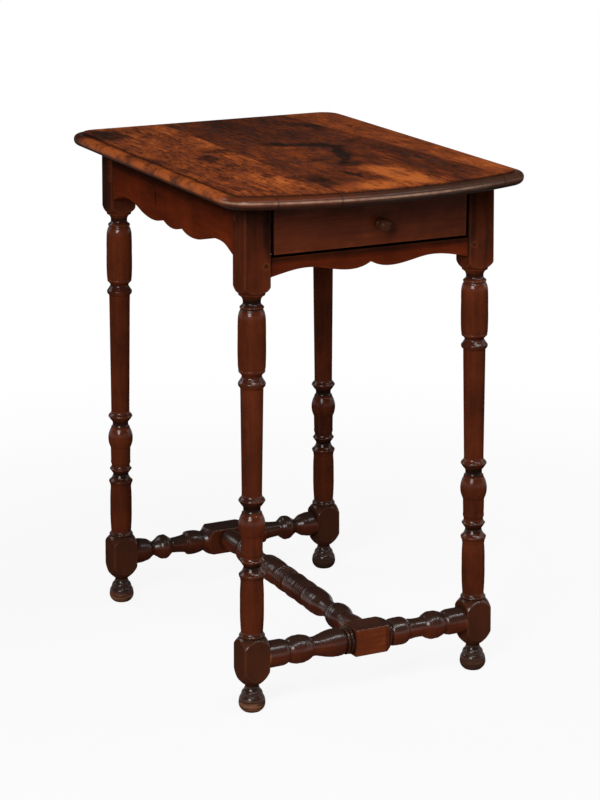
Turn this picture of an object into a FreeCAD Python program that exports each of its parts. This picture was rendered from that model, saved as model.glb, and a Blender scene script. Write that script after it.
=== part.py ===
import FreeCAD, Part
import math
import os

from FreeCAD import Vector

# A small table with a moulded, bow-fronted top on four turned legs, braced by an
# H-shaped turned stretcher, with one side-hung drawer in its short front end.
# Units are millimetres. +Z is up, the front faces -Y, and the origin is on the
# floor under the middle of the top.

# Overall
table_height = 696.0
top_length = 605.0
top_width = 427.0
overrun = 2.0
same_height = 0.01

# Top: four boards, two of them tapered, with a raised flat field and a rounded lip all round
top_thickness = 18.0
field_step = 2.5
lip_width = 13.0
lip_upper_radius = 6.5
lip_lower_radius = 8.5
top_corner_radius = 38.0
front_bow = 45.0
edge_board_width = 56.5
strip_board_back_width = 87.0
strip_board_front_width = 79.0
right_board_back_width = 95.5
right_board_front_width = 45.5

# Legs: square stock, turned between the blocks, each a little different. The feet stand out
# from the tops of the posts by the splay, sideways and lengthwise.
leg_stock = 37.0
leg_splay = 7.0
side_overhang = 34.5
front_overhang = 75.5
back_overhang = 48.5
arris_radius = 2.0
foot_height = 36.0
foot_block_length = 66.0
post_shoulder_height = 28.0
post_lengths = {
    "front_left": 127.5,
    "front_right": 126.0,
    "back_left": 104.0,
    "back_right": 100.0,
}
barrel_lengths = {
    "front_left": 100.0,
    "front_right": 88.5,
    "back_left": 97.5,
    "back_right": 78.0,
}
lower_turning_lengths = {
    "front_left": 197.5,
    "front_right": 203.5,
    "back_left": 193.0,
    "back_right": 201.0,
}

# Side and back aprons, tenoned into the posts. The scrolls of the side aprons sit a little
# forward of their middle.
apron_thickness = 20.0
apron_setback = 1.5
apron_depth = 72.5
apron_arch_rise = 13.5
apron_cusp_rise = 6.0
side_scroll_shift = 8.0
apron_tenon_length = 16.0
apron_tenon_thickness = 8.0
apron_tenon_base = 20.0
apron_tenon_haunch = 10.0

# Shaped rail under the drawer
drawer_opening_height = 71.0
rail_thickness = 22.0
rail_setback = 3.0
rail_depth = 25.0
rail_arch_rise = 8.2
rail_cusp_rise = 7.5
rail_tenon_length = 18.0
rail_tenon_thickness = 8.0
rail_tenon_base = 10.0
rail_tenon_haunch = 3.0

# H-stretcher. The centre bar lies a little higher than the other two, and its middle bead sits
# forward of its middle.
stretcher_height = 73.0
stretcher_stock = 38.0
stretcher_block_length = 44.0
center_rise = 3.0
center_bead_shift = 22.0
stretcher_tenon_radius = 9.0
stretcher_tenon_length = 18.0
cross_tenon_length = 14.0

# Drawer
drawer_setback = 1.0
drawer_side_clearance = 4.0
drawer_base_clearance = 4.0
drawer_top_clearance = 1.0
drawer_front_thickness = 20.0
drawer_side_thickness = 12.0
drawer_side_base_inset = 8.0
drawer_side_top_inset = 4.0
drawer_back_thickness = 9.0
drawer_bottom_thickness = 6.0
drawer_bottom_inset = 5.0
drawer_bottom_groove = 4.0
dovetail_lap = 6.0
dovetail_count = 2

# Bearers that the grooved drawer sides run on, and the stops behind the drawer
bearer_height = 9.0
bearer_groove_depth = 5.0
bearer_seat_clearance = 0.3
bearer_lower_clearance = 0.7
bearer_side_clearance = 0.5
stop_width = 22.0
stop_height = 20.0
stop_depth = 29.2
stop_clearance = 0.3

# Drawer knob
knob_offset_x = 12.0
knob_height_above_base = 27.0
knob_radius = 8.2
knob_projection = 20.0
knob_tenon_radius = 3.5
knob_tenon_length = 15.0

# Pegs and glue blocks
peg_radius = 3.0
peg_length = 24.0
peg_proud = 0.3
peg_inset = 8.0
cross_peg_length = 20.0
glue_block_size = 14.0
glue_block_length = 60.0

# Turned outlines: (height share, radius share of half the stock, bulge share of the run)
foot_shares = [
    (0.000, 0.660, 0.0),
    (0.390, 0.940, 0.16),
    (0.600, 0.785, 0.1),
    (0.615, 0.765, 0.0),
    (0.630, 0.785, 0.0),
    (0.760, 0.700, 0.06),
    (0.775, 0.660, 0.0),
    (0.930, 0.510, -0.06),
    (1.000, 0.520, -0.1),
]
foot_block_shares = [
    (0.390, 1.440, 0.1),
    (0.750, 1.440, 0.0),
    (1.000, 0.880, 0.08),
]
lower_turning_shares = [
    (0.003, 0.880, 0.0),
    (0.018, 0.905, 0.25),
    (0.023, 0.865, 0.0),
    (0.050, 0.797, -0.12),
    (0.240, 0.850, 0.012),
    (0.392, 0.803, 0.012),
    (0.400, 0.830, 0.0),
    (0.416, 0.850, -0.05),
    (0.430, 0.905, 0.15),
    (0.443, 0.895, 0.28),
    (0.480, 0.630, -0.08),
    (0.495, 0.605, -0.1),
    (0.527, 0.830, 0.0),
    (0.537, 0.826, 0.3),
    (0.555, 0.715, -0.06),
    (0.566, 0.712, 0.0),
    (0.600, 0.760, 0.1),
    (0.700, 0.778, 0.0),
    (0.851, 0.752, 0.125),
    (0.853, 0.722, 0.0),
    (0.865, 0.716, 0.0),
    (0.868, 0.660, 0.0),
    (0.889, 0.608, -0.1),
    (0.906, 0.642, -0.06),
    (0.940, 0.905, 0.04),
    (0.953, 0.915, 0.28),
    (0.962, 0.850, 0.1),
    (0.968, 0.785, 0.0),
    (0.990, 0.716, -0.1),
    (1.000, 0.716, 0.0),
]
barrel_shares = [
    (-0.122, 0.805, 0.0),
    (-0.118, 0.825, 0.0),
    (-0.104, 0.880, 0.0),
    (-0.082, 0.950, 0.12),
    (-0.062, 0.965, 0.06),
    (-0.046, 0.945, 0.08),
    (-0.020, 0.850, 0.0),
    (0.004, 0.775, 0.0),
    (0.026, 0.715, -0.05),
    (0.038, 0.708, -0.04),
    (0.052, 0.735, -0.08),
    (0.068, 0.800, -0.04),
    (0.084, 0.890, 0.0),
    (0.098, 0.928, 0.1),
    (0.112, 0.937, 0.05),
    (0.120, 0.925, 0.0),
    (0.150, 0.955, 0.04),
    (0.190, 0.968, 0.02),
    (0.550, 0.978, 0.008),
    (0.746, 0.969, 0.006),
    (0.798, 0.955, 0.01),
    (0.837, 0.927, 0.02),
    (0.876, 0.868, 0.02),
    (0.902, 0.800, 0.0),
    (0.915, 0.786, -0.03),
    (0.918, 0.815, 0.0),
    (0.944, 0.805, 0.28),
    (0.952, 0.765, 0.0),
    (0.968, 0.674, -0.05),
    (1.000, 0.625, -0.12),
]
post_shoulder_shares = [
    (0.320, 0.920, -0.16),
    (0.420, 0.950, 0.0),
    (1.000, 1.440, 0.14),
]

# Each half of the front stretcher and half of the back one, from the block out to the leg
front_left_turning_shares = [
    (0.000, 1.440, 0.0),
    (0.010, 0.930, 0.0),
    (0.016, 0.985, 0.0),
    (0.042, 0.985, 0.1),
    (0.048, 0.890, 0.0),
    (0.055, 0.890, 0.0),
    (0.061, 0.975, 0.0),
    (0.084, 0.965, 0.1),
    (0.090, 0.840, 0.0),
    (0.104, 0.840, 0.0),
    (0.110, 0.920, 0.0),
    (0.140, 0.980, 0.08),
    (0.198, 0.995, 0.03),
    (0.258, 0.960, 0.03),
    (0.323, 0.870, 0.01),
    (0.383, 0.760, -0.02),
    (0.428, 0.690, -0.05),
    (0.458, 0.690, -0.02),
    (0.473, 0.715, -0.05),
    (0.493, 0.800, 0.02),
    (0.553, 0.945, 0.06),
    (0.623, 0.985, 0.08),
    (0.683, 0.945, 0.08),
    (0.728, 0.840, 0.06),
    (0.742, 0.770, 0.0),
    (0.756, 0.770, 0.0),
    (0.786, 0.890, 0.1),
    (0.823, 0.940, 0.05),
    (1.000, 0.955, 0.0),
]
front_right_turning_shares = [
    (0.000, 1.440, 0.0),
    (0.085, 0.900, 0.08),
    (0.091, 0.840, 0.0),
    (0.106, 0.840, 0.0),
    (0.112, 0.900, 0.0),
    (0.150, 0.975, 0.1),
    (0.215, 0.990, 0.03),
    (0.285, 0.945, 0.06),
    (0.325, 0.780, 0.0),
    (0.360, 0.735, -0.08),
    (0.440, 0.686, -0.03),
    (0.500, 0.705, -0.03),
    (0.525, 0.760, -0.06),
    (0.575, 0.940, 0.06),
    (0.640, 0.985, 0.1),
    (0.700, 0.935, 0.08),
    (0.757, 0.765, 0.05),
    (0.770, 0.765, 0.0),
    (0.805, 0.890, 0.1),
    (0.850, 0.930, 0.05),
    (1.000, 0.937, 0.0),
]
back_turning_shares = [
    (0.000, 1.440, 0.0),
    (0.090, 0.900, 0.08),
    (0.125, 0.775, 0.0),
    (0.145, 0.775, 0.0),
    (0.190, 0.880, 0.06),
    (0.245, 0.928, 0.04),
    (0.325, 0.905, 0.04),
    (0.345, 0.720, 0.0),
    (0.505, 0.592, -0.02),
    (0.535, 0.640, -0.12),
    (0.575, 0.840, 0.04),
    (0.628, 0.935, 0.16),
    (0.680, 0.840, 0.1),
    (0.745, 0.560, -0.03),
    (0.765, 0.560, -0.1),
    (0.800, 0.720, 0.0),
    (0.860, 0.880, 0.08),
    (1.000, 0.935, 0.06),
]
# Each half of the centre stretcher, from its middle bead out to the block
cross_turning_shares = [
    (0.000, 0.945, 0.0),
    (0.050, 0.915, 0.05),
    (0.080, 0.850, 0.05),
    (0.090, 0.790, 0.0),
    (0.100, 0.790, 0.0),
    (0.106, 0.915, 0.0),
    (0.120, 0.915, 0.12),
    (0.126, 0.820, 0.0),
    (0.132, 0.930, 0.0),
    (0.147, 0.930, 0.12),
    (0.153, 0.830, 0.0),
    (0.159, 0.930, 0.0),
    (0.174, 0.930, 0.12),
    (0.180, 0.820, 0.0),
    (0.186, 0.905, 0.0),
    (0.200, 0.905, 0.12),
    (0.207, 0.790, 0.0),
    (0.220, 0.790, 0.0),
    (0.232, 0.865, 0.04),
    (0.320, 0.950, 0.04),
    (0.385, 0.930, 0.03),
    (0.430, 0.870, 0.06),
    (0.475, 0.700, 0.0),
    (0.500, 0.655, -0.06),
    (0.560, 0.630, -0.02),
    (0.588, 0.660, -0.06),
    (0.625, 0.810, 0.0),
    (0.660, 0.910, 0.06),
    (0.700, 0.945, 0.08),
    (0.750, 0.880, 0.08),
    (0.790, 0.680, 0.06),
    (0.805, 0.680, -0.05),
    (0.850, 0.750, 0.0),
    (1.000, 0.810, 0.03),
]
# Knob: (share of the projection, share of the radius, bulge share)
knob_shares = [
    (0.00, 0.80, 0.0),
    (0.08, 0.80, 0.10),
    (0.34, 0.46, -0.16),
    (0.42, 0.56, -0.10),
    (0.96, 0.34, 0.44),
    (1.00, 0.10, 0.15),
]

# Lower edges of the aprons and rail: (share of half the length, share of the arch rise)
apron_curve_shares = [
    (1.000, 0.08),
    (0.940, 0.42),
    (0.860, 0.86),
    (0.760, 1.00),
    (0.640, 0.85),
    (0.490, 0.25),
    (0.370, 0.00),
    (0.240, 0.08),
]
apron_cusp_share = 0.153
rail_curve_shares = [
    (1.000, 0.03),
    (0.850, 0.60),
    (0.700, 0.99),
    (0.580, 0.98),
    (0.410, 0.45),
    (0.260, 0.03),
    (0.140, 0.06),
]
dovetail_wide_share = 0.30
dovetail_narrow_share = 0.20
peg_place_shares = (0.25, 0.75)
glue_block_place_shares = (-0.6, 0.0, 0.6)
stop_place_share = 0.5

# Places worked out from the sizes above
half_stock = leg_stock / 2
half_bar = stretcher_stock / 2
underside_z = table_height - top_thickness
leg_x = top_width / 2 - side_overhang - half_stock
back_leg_y = top_length / 2 - back_overhang - half_stock
front_leg_y = front_overhang + half_stock - top_length / 2
leg_places = {
    "front_left": (-leg_x, front_leg_y),
    "front_right": (leg_x, front_leg_y),
    "back_left": (-leg_x, back_leg_y),
    "back_right": (leg_x, back_leg_y),
}
middle_y = (front_leg_y + back_leg_y) / 2
opening_half = leg_x - half_stock
post_gap_half = (back_leg_y - front_leg_y) / 2 - half_stock
apron_outer_x = leg_x + half_stock - apron_setback
apron_inner_x = apron_outer_x - apron_thickness
back_apron_outer_y = back_leg_y + half_stock - apron_setback
back_apron_inner_y = back_apron_outer_y - apron_thickness
apron_tenon_low = underside_z - apron_depth + apron_tenon_base
apron_tenon_high = underside_z - apron_tenon_haunch
rail_top_z = underside_z - drawer_opening_height
rail_front_y = front_leg_y - half_stock + rail_setback
rail_tenon_low = rail_top_z - rail_depth + rail_tenon_base
rail_tenon_high = rail_top_z - rail_tenon_haunch

drawer_half = opening_half - drawer_side_clearance
drawer_front_y = front_leg_y - half_stock + drawer_setback
drawer_shoulder_y = drawer_front_y + drawer_front_thickness
drawer_back_y = back_apron_inner_y - stop_depth - stop_clearance
drawer_low_z = rail_top_z + drawer_base_clearance
drawer_high_z = underside_z - drawer_top_clearance
side_low_z = drawer_low_z + drawer_side_base_inset
side_high_z = drawer_high_z - drawer_side_top_inset
drawer_inner_half = drawer_half - drawer_side_thickness
bottom_low_z = side_low_z + drawer_bottom_inset
bottom_high_z = bottom_low_z + drawer_bottom_thickness
bearer_middle_z = (side_low_z + side_high_z) / 2
bearer_low_z = bearer_middle_z - bearer_height / 2
bearer_high_z = bearer_middle_z + bearer_height / 2


def splay_at(height):
    """How far a leg has moved out from its top at a height."""
    return leg_splay * (underside_z - height) / underside_z


stretcher_splay = splay_at(stretcher_height)
center_height = stretcher_height + center_rise
bar_reach = opening_half + stretcher_splay
cross_reach = post_gap_half + half_stock + stretcher_splay - half_bar
bar_middle_y = {-1: front_leg_y - stretcher_splay, 1: back_leg_y + stretcher_splay}


def box(low, high):
    """A block between two opposite corners."""
    size = [b - a for a, b in zip(low, high)]
    return Part.makeBox(*size, Vector(*low))


def fused(shapes):
    """One solid from shapes that meet or overlap."""
    shapes = list(shapes)
    return shapes[0].multiFuse(shapes[1:]).removeSplitter()


def save(name, solids):
    """Write one sub-part, which may be a group of separate solids."""
    if not isinstance(solids, list):
        solids = [solids]
    shape = solids[0] if len(solids) == 1 else Part.makeCompound(solids)
    shape.exportStep(f"parts/{name}.step")


def stations(shares, start, length, radius):
    """Turn a table of shares into (height, radius, bulge share) along a turned piece."""
    return [(start + h * length, r * radius, bulge) for h, r, bulge in shares]


def turned(points):
    """A solid of revolution about Z through (height, radius, bulge share) points."""
    corners = [Vector(radius, 0, height) for height, radius, bulge in points]
    low = Vector(0, 0, points[0][0])
    high = Vector(0, 0, points[-1][0])
    edges = [Part.LineSegment(low, corners[0]).toShape()]
    for start, end, (height, radius, bulge) in zip(corners, corners[1:], points[1:]):
        if bulge == 0:
            edges.append(Part.LineSegment(start, end).toShape())
            continue
        run = end - start
        outward = Vector(run.z, 0, -run.x)
        crown = (start + end) * 0.5 + outward * bulge
        edges.append(Part.Arc(start, crown, end).toShape())
    edges.append(Part.LineSegment(corners[-1], high).toShape())
    edges.append(Part.LineSegment(high, low).toShape())
    face = Part.Face(Part.Wire(edges))
    return face.revolve(Vector(0, 0, 0), Vector(0, 0, 1), 360)


def joined_halves(left, right):
    """Both halves of a turned piece, from the far end of one to the far end of the other."""
    bulges = [bulge for height, radius, bulge in left]
    turned_back = [
        (-height, radius, next_bulge)
        for (height, radius, bulge), next_bulge in zip(left, bulges[1:] + [0.0])
    ]
    turned_back = turned_back[::-1]
    return turned_back[:-1] + right if right[0][0] == 0 else turned_back + right


def upright_edges(shape):
    """The edges of a shape that run along Z."""
    return [e for e in shape.Edges if abs(e.tangentAt(e.FirstParameter).z) > 0.5]


def square_stock(side, low, high):
    """A square bar along Z with eased arrises."""
    bar = box((-side / 2, -side / 2, low), (side / 2, side / 2, high))
    return bar.makeFillet(arris_radius, upright_edges(bar))


def along_x(shape):
    """Lay a piece that was made along Z down along X."""
    shape.rotate(Vector(0, 0, 0), Vector(0, 1, 0), 90)
    return shape


def along_y(shape):
    """Lay a piece that was made along Z down along Y."""
    shape.rotate(Vector(0, 0, 0), Vector(1, 0, 0), -90)
    return shape


def moved(shape, x, y, z):
    """Carry a piece to its place."""
    shape.translate(Vector(x, y, z))
    return shape


def top_slab(inset, low, high):
    """The plan of the top, bowed in front, drawn in from its edge by an inset."""
    half_width = top_width / 2
    bow_radius = (half_width**2 + front_bow**2) / (2 * front_bow)
    bow_center_y = bow_radius - top_length / 2
    x = half_width - inset
    radius = bow_radius - inset
    side_y = bow_center_y - math.sqrt(radius**2 - x**2)
    back_y = top_length / 2 - inset
    front_left = Vector(-x, side_y, low)
    front_right = Vector(x, side_y, low)
    back_left = Vector(-x, back_y, low)
    back_right = Vector(x, back_y, low)
    bow = Vector(0, bow_center_y - radius, low)
    edges = [
        Part.Arc(front_left, bow, front_right).toShape(),
        Part.LineSegment(front_right, back_right).toShape(),
        Part.LineSegment(back_right, back_left).toShape(),
        Part.LineSegment(back_left, front_left).toShape(),
    ]
    slab = Part.Face(Part.Wire(edges)).extrude(Vector(0, 0, high - low))
    return slab.makeFillet(top_corner_radius - inset, upright_edges(slab))


def edges_at(shape, height):
    """The edges of a slab that lie at one height."""
    boxes = [(e, e.BoundBox) for e in shape.Edges]
    return [e for e, b in boxes if max(abs(b.ZMin - height), abs(b.ZMax - height)) < same_height]


def whole_top():
    """The moulded top before it is parted into boards."""
    lip_high = table_height - field_step
    lip = top_slab(0, underside_z, lip_high)
    lip = lip.makeFillet(lip_upper_radius, edges_at(lip, lip_high))
    lip = lip.makeFillet(lip_lower_radius, edges_at(lip, underside_z))
    field = top_slab(lip_width, lip_high, table_height)
    return fused([lip, field])


def top_boards():
    """The boards of the top, glued edge to edge, from left to right."""
    half_width = top_width / 2
    edge_joint = edge_board_width - half_width
    joints = [
        (-half_width, -half_width),
        (edge_joint, edge_joint),
        (edge_joint + strip_board_front_width, edge_joint + strip_board_back_width),
        (half_width - right_board_front_width, half_width - right_board_back_width),
        (half_width, half_width),
    ]
    names = ("top_edge_board", "top_strip_board", "top_middle_board", "top_right_board")
    top = whole_top()
    y = top_length / 2
    low = underside_z - overrun
    boards = {}
    for name, (left_front, left_back), (right_front, right_back) in zip(names, joints, joints[1:]):
        corners = [
            Vector(left_front, -y, low),
            Vector(right_front, -y, low),
            Vector(right_back, y, low),
            Vector(left_back, y, low),
        ]
        plan = Part.Face(Part.makePolygon(corners + corners[:1]))
        boards[name] = top.common(plan.extrude(Vector(0, 0, top_thickness + 2 * overrun)))
    return boards


def tenon_x(side, length, center_y, thickness, heights):
    """A tenon that points along X out of a cross rail into a post, on the side -1 or 1."""
    ends = sorted((side * (opening_half - overrun), side * (opening_half + length)))
    half = thickness / 2
    return box((ends[0], center_y - half, heights[0]), (ends[1], center_y + half, heights[1]))


def rail_tenon(side):
    center_y = rail_front_y + rail_thickness / 2
    heights = (rail_tenon_low, rail_tenon_high)
    return tenon_x(side, rail_tenon_length, center_y, rail_tenon_thickness, heights)


def back_apron_tenon(side):
    center_y = (back_apron_outer_y + back_apron_inner_y) / 2
    heights = (apron_tenon_low, apron_tenon_high)
    return tenon_x(side, apron_tenon_length, center_y, apron_tenon_thickness, heights)


def side_apron_tenon(side, end):
    """A tenon of a side apron, on the side -1 or 1, at the front end -1 or the back end 1."""
    center_x = side * (apron_outer_x + apron_inner_x) / 2
    half = apron_tenon_thickness / 2
    ends = sorted((end * (post_gap_half - overrun), end * (post_gap_half + apron_tenon_length)))
    return box(
        (center_x - half, middle_y + ends[0], apron_tenon_low),
        (center_x + half, middle_y + ends[1], apron_tenon_high),
    )


def stretcher_tenon(side, end):
    """A round tenon of the front or back stretcher in a foot block."""
    length = stretcher_tenon_length + overrun
    pin = along_x(Part.makeCylinder(stretcher_tenon_radius, length))
    start = bar_reach - overrun if side > 0 else overrun - bar_reach - length
    return moved(pin, start, bar_middle_y[end], stretcher_height)


def cross_tenon(end):
    """A round tenon of the centre stretcher in the block of a cross stretcher."""
    length = cross_tenon_length + overrun
    pin = along_y(Part.makeCylinder(stretcher_tenon_radius, length))
    start = cross_reach - overrun if end > 0 else overrun - cross_reach - length
    return moved(pin, 0, middle_y + start, center_height)


def peg_heights():
    rise = apron_tenon_high - apron_tenon_low
    return [apron_tenon_low + share * rise for share in peg_place_shares]


def peg_along_y(x, face_y, inward, z):
    """A peg driven along Y from a face, with its head a little proud."""
    peg = along_y(Part.makeCylinder(peg_radius, peg_length))
    start = face_y - peg_proud if inward > 0 else face_y + peg_proud - peg_length
    return moved(peg, x, start, z)


def apron_pegs():
    """The pegs that lock the apron tenons, driven from the outer faces of the posts."""
    pegs = []
    for side in (-1, 1):
        for z in peg_heights():
            face_x = side * (leg_x + half_stock + splay_at(z))
            for end in (-1, 1):
                peg = along_x(Part.makeCylinder(peg_radius, peg_length))
                start = face_x - peg_proud if side < 0 else face_x + peg_proud - peg_length
                y = middle_y + end * (post_gap_half + peg_inset)
                pegs.append(moved(peg, start, y, z))
            x = side * (opening_half + peg_inset)
            pegs.append(peg_along_y(x, back_leg_y + half_stock + splay_at(z), -1, z))
    return pegs


def rail_pegs():
    """The pegs that show on the fronts of the front posts."""
    z = (rail_tenon_low + rail_tenon_high) / 2
    x = opening_half + peg_inset
    face_y = front_leg_y - half_stock - splay_at(z)
    return [peg_along_y(side * x, face_y, 1, z) for side in (-1, 1)]


def stretcher_pegs():
    """Pegs from the back faces of the foot blocks, and from below in the stretcher blocks."""
    x = bar_reach + peg_inset
    pegs = []
    for end in (-1, 1):
        for side in (-1, 1):
            pegs.append(peg_along_y(side * x, bar_middle_y[end] + half_stock, -1, stretcher_height))
        peg = Part.makeCylinder(peg_radius, cross_peg_length)
        y = middle_y + end * (cross_reach + cross_tenon_length / 2)
        pegs.append(moved(peg, 0, y, stretcher_height - half_bar - peg_proud))
    return pegs


def leg(name):
    """One leg: bun foot, foot block, turned shaft and square post, in one leaning piece."""
    x, y = leg_places[name]
    side = math.copysign(1, x)
    end = math.copysign(1, y)
    block_top = foot_height + foot_block_length
    shoulder = underside_z - post_lengths[name]
    barrel = barrel_lengths[name]
    outline = stations(foot_shares, 0, foot_height, half_stock)
    outline += stations(foot_block_shares, foot_height, foot_block_length, half_stock)
    outline += stations(lower_turning_shares, block_top, lower_turning_lengths[name], half_stock)
    outline += stations(barrel_shares, shoulder - barrel, barrel, half_stock)
    outline += stations(post_shoulder_shares, shoulder, post_shoulder_height, half_stock)
    outline.insert(0, (-overrun, outline[0][1], 0))
    outline.append((underside_z + overrun, outline[-1][1], 0))
    solid = turned(outline).common(square_stock(leg_stock, -overrun, underside_z + overrun))
    lean = FreeCAD.Rotation(Vector(0, 0, 1), Vector(-side * leg_splay, -end * leg_splay, underside_z))
    solid.rotate(Vector(0, 0, underside_z), lean.Axis, math.degrees(lean.Angle))
    moved(solid, x, y, 0)
    half = half_stock + leg_splay + overrun
    return solid.common(box((x - half, y - half, 0), (x + half, y + half, underside_z)))


def mortised(raw_legs, pegs):
    """The four legs with their mortises and peg holes."""
    made = {}
    for name, solid in raw_legs.items():
        side = -1 if name.endswith("left") else 1
        end = -1 if name.startswith("front") else 1
        cuts = [side_apron_tenon(side, end), stretcher_tenon(side, end)]
        cuts.append(rail_tenon(side) if end < 0 else back_apron_tenon(side))
        made["leg_" + name] = solid.cut(cuts + pegs)
    return made


def shaped_board(half_length, heights, curve_shares, cusp_share, rises, thickness, shift=0):
    """A board along X from y = 0 to its thickness, with a lower edge scrolled about a shifted middle."""
    low, high = heights
    arch_rise, cusp_rise = rises
    places = [(share, low + rise * arch_rise) for share, rise in curve_shares]
    places.append((cusp_share, low + cusp_rise))
    runs = []
    edges = []
    for side in (1, -1):
        run = [Vector(shift + share * (side * half_length - shift), 0, z) for share, z in places]
        curve = Part.BSplineCurve()
        curve.interpolate(run)
        edges.append(curve.toShape())
        runs.append(run)
    right, left = runs
    if cusp_share > 0:
        edges.append(Part.Arc(right[-1], Vector(shift, 0, low), left[-1]).toShape())
    corner_right = Vector(half_length, 0, high)
    corner_left = Vector(-half_length, 0, high)
    edges.append(Part.LineSegment(right[0], corner_right).toShape())
    edges.append(Part.LineSegment(corner_right, corner_left).toShape())
    edges.append(Part.LineSegment(corner_left, left[0]).toShape())
    wire = Part.Wire(Part.__sortEdges__(edges))
    return Part.Face(wire).extrude(Vector(0, thickness, 0))


def apron_board(gap_half, shift=0):
    """A side or back apron without its tenons, long enough to be cut to its leaning posts."""
    heights = (underside_z - apron_depth, underside_z)
    rises = (apron_arch_rise, apron_cusp_rise)
    half_length = gap_half + splay_at(heights[0])
    curve = (apron_curve_shares, apron_cusp_share)
    return shaped_board(half_length, heights, *curve, rises, apron_thickness, shift)


def side_apron(side, posts, pegs):
    """A side apron with a tenon at each end, its scrolled edge down."""
    board = apron_board(post_gap_half, -side_scroll_shift)
    board.rotate(Vector(0, 0, 0), Vector(0, 0, 1), 90)
    moved(board, -apron_inner_x if side < 0 else apron_outer_x, middle_y, 0)
    tenons = [side_apron_tenon(side, -1), side_apron_tenon(side, 1)]
    return fused([board.cut(posts)] + tenons).cut(pegs)


def back_apron(posts, pegs):
    board = moved(apron_board(opening_half), 0, back_apron_inner_y, 0)
    return fused([board.cut(posts), back_apron_tenon(-1), back_apron_tenon(1)]).cut(pegs)


def front_rail(posts, pegs):
    """The shaped rail under the drawer."""
    heights = (rail_top_z - rail_depth, rail_top_z)
    rises = (rail_arch_rise, rail_cusp_rise)
    half_length = opening_half + splay_at(heights[0])
    board = shaped_board(half_length, heights, rail_curve_shares, 0, rises, rail_thickness)
    moved(board, 0, rail_front_y, 0)
    return fused([board.cut(posts), rail_tenon(-1), rail_tenon(1)]).cut(pegs)


def cross_stretcher(end, left_shares, right_shares, posts, pegs):
    """A front or back stretcher: a square middle block, turned out to both legs."""
    block_half = stretcher_block_length / 2
    halves = []
    for shares in (left_shares, right_shares):
        half = stations(shares, block_half, bar_reach - block_half, half_bar)
        halves.append(half + [(bar_reach + overrun, half[-1][1], 0)])
    blank = square_stock(stretcher_stock, -bar_reach - overrun, bar_reach + overrun)
    bar = turned(joined_halves(*halves)).common(blank)
    moved(along_x(bar), 0, bar_middle_y[end], stretcher_height)
    tenons = [stretcher_tenon(-1, end), stretcher_tenon(1, end)]
    return fused([bar.cut(posts)] + tenons).cut([cross_tenon(end)] + pegs)


def center_stretcher(pegs):
    """The turned bar from the front stretcher's block to the back one's."""
    front = stations(cross_turning_shares, 0, cross_reach - center_bead_shift, half_bar)
    back = stations(cross_turning_shares, 0, cross_reach + center_bead_shift, half_bar)
    bar = along_y(turned(joined_halves(front, back)))
    moved(bar, 0, middle_y - center_bead_shift, center_height)
    return fused([bar, cross_tenon(-1), cross_tenon(1)]).cut(pegs)


def dovetails(side):
    """The tails at the front end of a drawer side."""
    height = side_high_z - side_low_z
    wide = dovetail_wide_share * height
    narrow = dovetail_narrow_share * height
    end_y = drawer_front_y + dovetail_lap
    left_x = -drawer_half if side < 0 else drawer_inner_half
    tails = []
    for index in range(dovetail_count):
        z = side_low_z + height * (index + 0.5) / dovetail_count
        corners = [
            Vector(left_x, drawer_shoulder_y, z - narrow / 2),
            Vector(left_x, end_y, z - wide / 2),
            Vector(left_x, end_y, z + wide / 2),
            Vector(left_x, drawer_shoulder_y, z + narrow / 2),
        ]
        outline = Part.makePolygon(corners + corners[:1])
        tails.append(Part.Face(outline).extrude(Vector(drawer_side_thickness, 0, 0)))
    return tails


def drawer_bottom():
    """The bottom board, held in grooves and nailed up under the back."""
    half = drawer_inner_half + drawer_bottom_groove
    return box(
        (-half, drawer_shoulder_y - drawer_bottom_groove, bottom_low_z),
        (half, drawer_back_y, bottom_high_z),
    )


def drawer_front():
    board = box((-drawer_half, drawer_front_y, drawer_low_z), (drawer_half, drawer_shoulder_y, drawer_high_z))
    return board.cut(dovetails(-1) + dovetails(1) + [drawer_bottom(), knob_tenon()])


def drawer_side(side):
    """A drawer side with its tails, the bottom's groove and the bearer's groove."""
    ends = sorted((side * drawer_inner_half, side * drawer_half))
    board = box((ends[0], drawer_shoulder_y, side_low_z), (ends[1], drawer_back_y, side_high_z))
    groove_x = sorted((side * (drawer_half - bearer_groove_depth), side * (drawer_half + overrun)))
    groove = box(
        (groove_x[0], drawer_shoulder_y, bearer_low_z - bearer_lower_clearance),
        (groove_x[1], drawer_back_y + overrun, bearer_high_z + bearer_seat_clearance),
    )
    return fused([board] + dovetails(side)).cut([groove, drawer_bottom()])


def drawer_back():
    return box(
        (-drawer_inner_half, drawer_back_y - drawer_back_thickness, bottom_high_z),
        (drawer_inner_half, drawer_back_y, side_high_z),
    )


def knob_tenon():
    pin = along_y(Part.makeCylinder(knob_tenon_radius, knob_tenon_length))
    return moved(pin, knob_offset_x, drawer_front_y, drawer_low_z + knob_height_above_base)


def drawer_knob():
    """A small turned knob with a round tenon in the drawer front."""
    outline = stations(knob_shares, 0, knob_projection, knob_radius)
    head = turned(outline)
    head.rotate(Vector(0, 0, 0), Vector(1, 0, 0), 90)
    moved(head, knob_offset_x, drawer_front_y, drawer_low_z + knob_height_above_base)
    return fused([head, knob_tenon()])


def drawer_bearer(side):
    """A strip on the inside of an apron that a drawer side hangs on."""
    reach = drawer_half - bearer_groove_depth + bearer_side_clearance
    ends = sorted((side * apron_inner_x, side * reach))
    return box(
        (ends[0], middle_y - post_gap_half, bearer_low_z),
        (ends[1], middle_y + post_gap_half, bearer_high_z),
    )


def drawer_stops():
    """Two blocks on the back apron that the drawer closes against."""
    stops = []
    for side in (-1, 1):
        x = side * stop_place_share * drawer_inner_half
        stops.append(
            box(
                (x - stop_width / 2, drawer_back_y + stop_clearance, bearer_middle_z - stop_height / 2),
                (x + stop_width / 2, back_apron_inner_y, bearer_middle_z + stop_height / 2),
            )
        )
    return stops


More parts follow.
